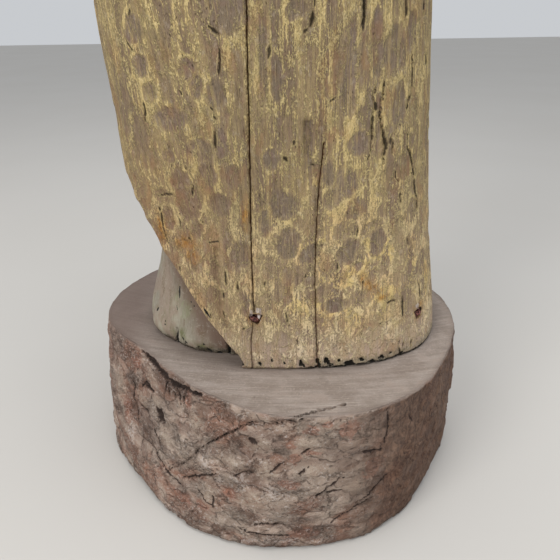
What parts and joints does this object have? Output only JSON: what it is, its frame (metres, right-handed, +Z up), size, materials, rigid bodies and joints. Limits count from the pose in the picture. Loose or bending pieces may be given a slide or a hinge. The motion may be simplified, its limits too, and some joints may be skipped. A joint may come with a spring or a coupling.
{
  "type": "carved figure on a log slab",
  "caption": "Standing wooden figure carved from one log in a long painted wrap, with a bare foot under the lifted hem, screwed and bolted to a thick slice of log.",
  "frame": {"origin": "on the floor, under the middle of the slab's bounding box", "axes": "+Z up along the standing figure, -Y the way the figure faces, +X to the right as seen from the front"},
  "size_m": [0.4769, 0.4463, 1.428],
  "materials": {
    "painted_wrap": "worn yellow wash over bare wood",
    "grey_green_wood": "thin grey-green paint, worn",
    "weathered_slab": "sawn top, bark-like weathered sides",
    "peg_wood": "turned, bare",
    "rusted_screw": "rusted",
    "white_filler": "dry wood filler",
    "wood_plug": "end grain, bare",
    "zinc_bolt": "zinc plated",
    "zinc_washer": "zinc plated"
  },
  "bodies": {
    "root": {"figure_log": "painted_wrap", "foot_block": "grey_green_wood", "base_slab": "weathered_slab", "foot_dowel_front": "peg_wood", "foot_dowel_back": "peg_wood", "centre_dowel": "peg_wood", "hem_screw_front_left": "rusted_screw", "hem_screw_front_right": "rusted_screw", "hem_screw_back_left": "rusted_screw", "hem_screw_back_right": "rusted_screw", "hem_filler_front_left": "white_filler", "hem_filler_front_right": "white_filler", "hem_plug_back_left": "wood_plug", "hem_plug_back_right": "wood_plug", "lag_bolt_front": "zinc_bolt", "lag_bolt_back_left": "zinc_bolt", "lag_bolt_back_right": "zinc_bolt", "lag_washer_front": "zinc_washer", "lag_washer_back_left": "zinc_washer", "lag_washer_back_right": "zinc_washer"}
  },
  "joints": []
}
